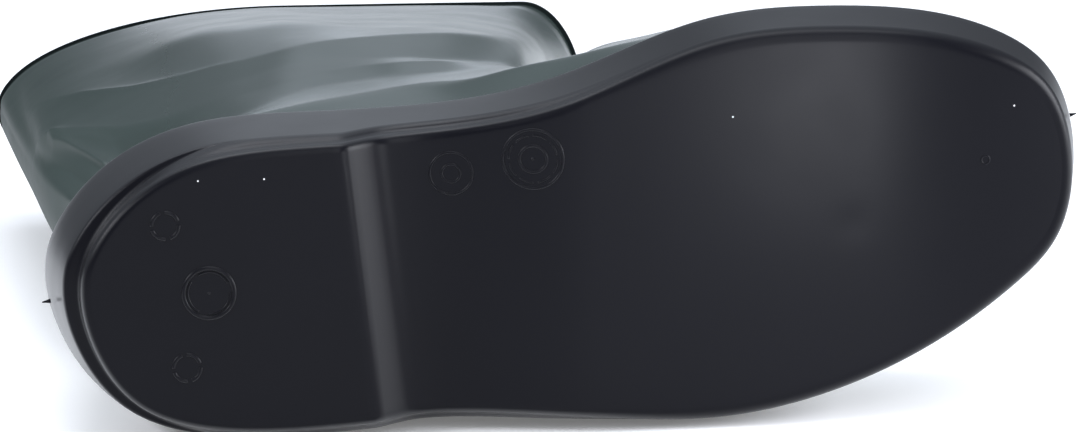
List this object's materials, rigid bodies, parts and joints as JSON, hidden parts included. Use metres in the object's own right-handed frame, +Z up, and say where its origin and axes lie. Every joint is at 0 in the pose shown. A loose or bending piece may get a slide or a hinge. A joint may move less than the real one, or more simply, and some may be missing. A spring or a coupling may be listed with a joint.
{
  "type": "wellington work boot",
  "caption": "Left knee-high wellington work boot moulded in green plastic, with a smooth black sole, low heel and slack shaft, lying on its outer side.",
  "frame": {"origin": "floor under the middle of the lying boot's box", "axes": "+X from heel to toe, +Y from the sole up the shaft to the collar, +Z up from the floor, from the boot's lateral to its medial side"},
  "size_m": [0.3048, 0.3606, 0.1194],
  "materials": {
    "sole_black": "smooth satin moulding",
    "upper_green": "satin moulding, grey-green",
    "insole_felt": "matte felt"
  },
  "bodies": {
    "root": {"outsole": "sole_black", "upper": "upper_green", "insole": "insole_felt"}
  },
  "joints": []
}
